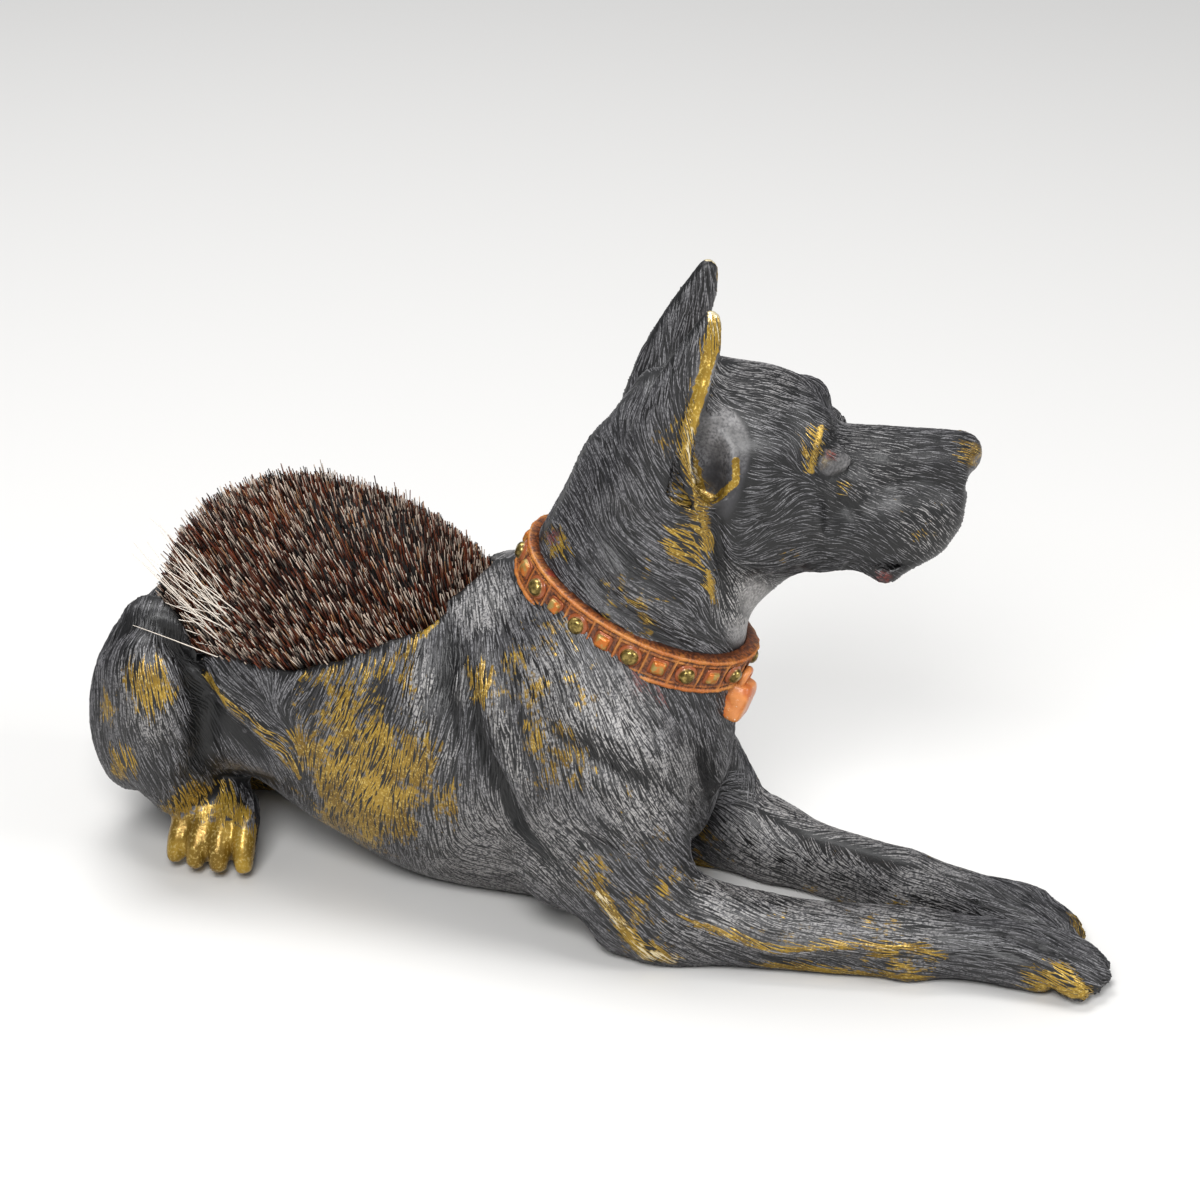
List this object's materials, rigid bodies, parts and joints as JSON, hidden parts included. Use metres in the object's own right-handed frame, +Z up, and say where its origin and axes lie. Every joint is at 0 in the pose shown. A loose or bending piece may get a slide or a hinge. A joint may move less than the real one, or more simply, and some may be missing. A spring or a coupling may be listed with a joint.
{
  "type": "pen wipe",
  "caption": "Desk pen wipe: a cold-painted cast hound lying with its head up, and an oval bristle brush seated in its back that lifts out.",
  "frame": {"origin": "on the flat rest face ground under the chest, in the plane of symmetry of the torso", "axes": "+X to the nose along the body, +Y to the hound's left, +Z up from the table"},
  "size_m": [0.1229, 0.0438, 0.0753],
  "materials": {
    "painted_bronze": "charcoal cold paint over cast bronze, rubbed through to the gold metal on raised hair",
    "collar_paint": "orange-red cold paint, worn at the edges",
    "stud_brass": "dulled brass-coloured round studs",
    "stud_paint": "square studs, brass with remains of orange paint",
    "beech_stock": "stained beech, mostly hidden by the bristles",
    "hog_bristle": "dark brown and black hog bristle with pale tips"
  },
  "bodies": {
    "figure": {"torso_casting": "painted_bronze", "head_casting": "painted_bronze", "left_ear": "painted_bronze", "right_ear": "painted_bronze", "left_foreleg": "painted_bronze", "right_foreleg": "painted_bronze", "left_hind_leg": "painted_bronze", "right_hind_leg": "painted_bronze", "tail": "painted_bronze", "collar_strap": "collar_paint", "collar_round_studs": "stud_brass", "collar_square_studs": "stud_paint", "collar_lock": "collar_paint"},
    "brush": {"brush_stock": "beech_stock", "bristle_row_1": "hog_bristle", "bristle_row_2": "hog_bristle", "bristle_row_3": "hog_bristle", "bristle_row_4": "hog_bristle", "bristle_row_5": "hog_bristle", "bristle_row_6": "hog_bristle", "bristle_row_7": "hog_bristle"}
  },
  "joints": [
    {"name": "brush_lift", "type": "slide", "parent": "figure", "child": "brush", "axis": [-0.225, 0, 0.9744], "range_m": [0, 0.025]}
  ]
}
